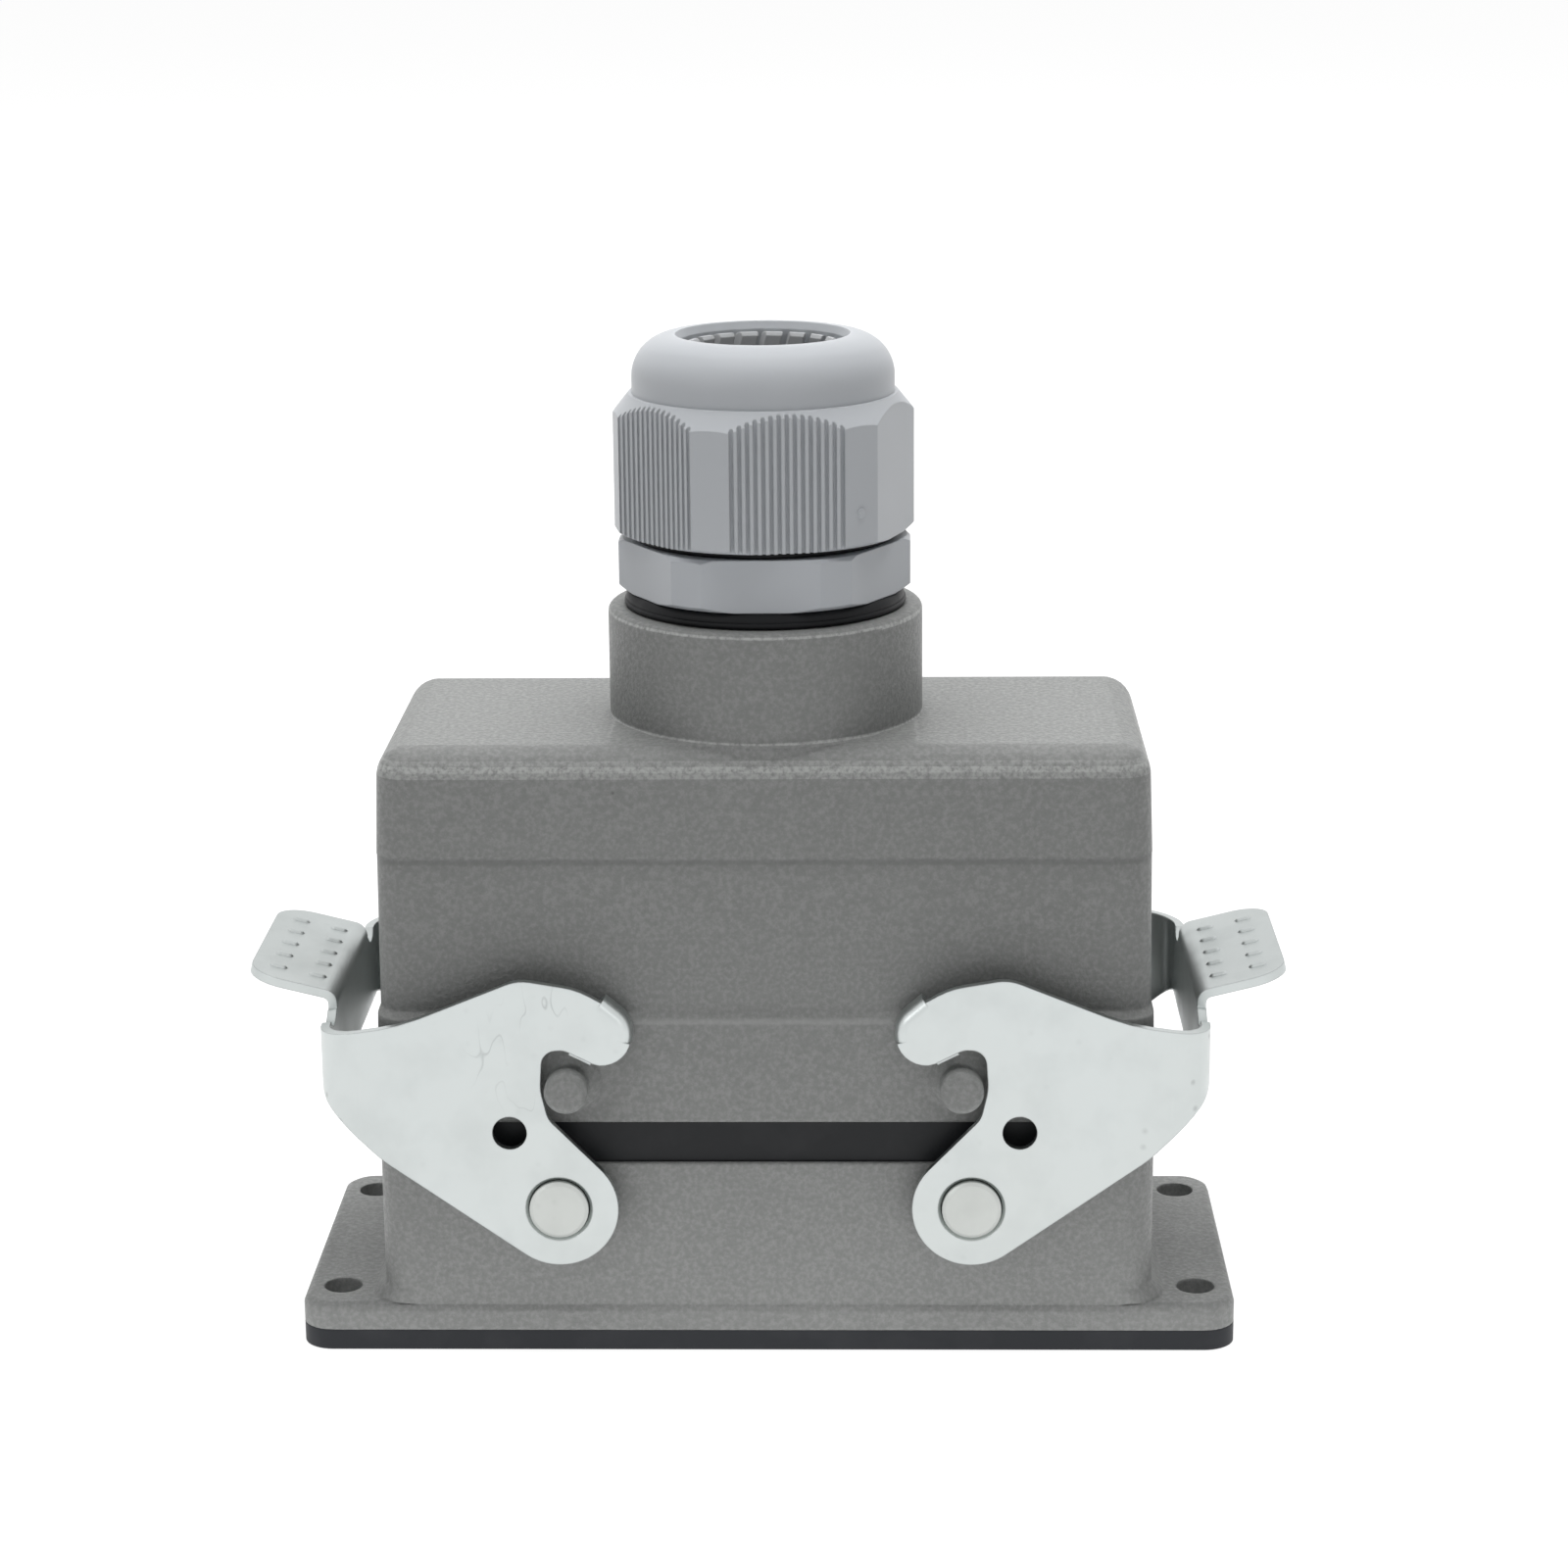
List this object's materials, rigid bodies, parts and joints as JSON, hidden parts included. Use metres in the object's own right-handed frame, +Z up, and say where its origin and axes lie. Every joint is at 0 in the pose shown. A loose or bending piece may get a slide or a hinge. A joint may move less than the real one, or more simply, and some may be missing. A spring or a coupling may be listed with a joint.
{
  "type": "heavy duty rectangular connector",
  "caption": "Closed rectangular power connector: flange-mount base and top-entry hood joined by two folded locking levers, with a cable gland on top and contact inserts inside.",
  "frame": {"origin": "middle of the flange gasket's underside, on the mounting panel's face", "axes": "+X along the connector, +Y across it, +Z up from the panel to the cable entry"},
  "size_m": [0.1242, 0.0532, 0.1191],
  "materials": {
    "cast_grey": "die-cast, fine-textured grey powder coat",
    "zinc_steel": "bright zinc plating with faint hairlines",
    "black_rubber": "matt black",
    "seal_rubber": "matt dark grey",
    "grey_nylon": "moulded, semi-gloss light grey",
    "light_nylon": "moulded, matt light grey",
    "dark_plastic": "moulded, fine-grained dark grey",
    "contact_brass": "silver-plated brass, slightly tarnished",
    "screw_steel": "bright zinc plating",
    "earth_steel": "dull nickel plating"
  },
  "bodies": {
    "housing": {"flange_gasket": "black_rubber", "base_housing": "cast_grey", "housing_seal": "black_rubber", "lever_pivot_pins": "zinc_steel", "cable_hood": "cast_grey", "gland_washer": "black_rubber", "gland_body": "grey_nylon", "female_insert": "dark_plastic", "female_contacts": "contact_brass", "female_terminal_screws": "screw_steel", "female_earth_contacts": "earth_steel", "female_earth_screws": "screw_steel", "female_mounting_screws": "screw_steel", "male_insert": "dark_plastic", "male_contacts": "contact_brass", "male_terminal_screws": "screw_steel", "male_earth_contacts": "earth_steel", "male_earth_screws": "screw_steel", "male_mounting_screws": "screw_steel"},
    "left_lever": {"left_locking_lever": "zinc_steel"},
    "right_lever": {"right_locking_lever": "zinc_steel"},
    "claw_carrier": {"clamping_claw": "light_nylon", "cable_seal": "seal_rubber"},
    "cap_nut": {"gland_nut": "grey_nylon"}
  },
  "joints": [
    {"name": "left_lever_hinge", "type": "hinge", "parent": "housing", "child": "left_lever", "pos_m": [-0.0243, 0, 0.0191], "axis": [0, -1, 0], "range_deg": [0, 45]},
    {"name": "right_lever_hinge", "type": "hinge", "parent": "housing", "child": "right_lever", "pos_m": [0.0243, 0, 0.0191], "axis": [0, 1, 0], "range_deg": [0, 45]},
    {"name": "gland_nut_rise", "type": "slide", "parent": "housing", "child": "claw_carrier", "axis": [0, 0, 1], "range_m": [0, 0.0045]},
    {"name": "gland_nut_turn", "type": "hinge", "parent": "claw_carrier", "child": "cap_nut", "pos_m": [0, 0, 0.1], "axis": [0, 0, 1], "range_deg": [0, 1080]}
  ],
  "couplings": [
    {"joint": "gland_nut_rise", "follows": "gland_nut_turn", "m_per_rad": 0.00023873}
  ]
}
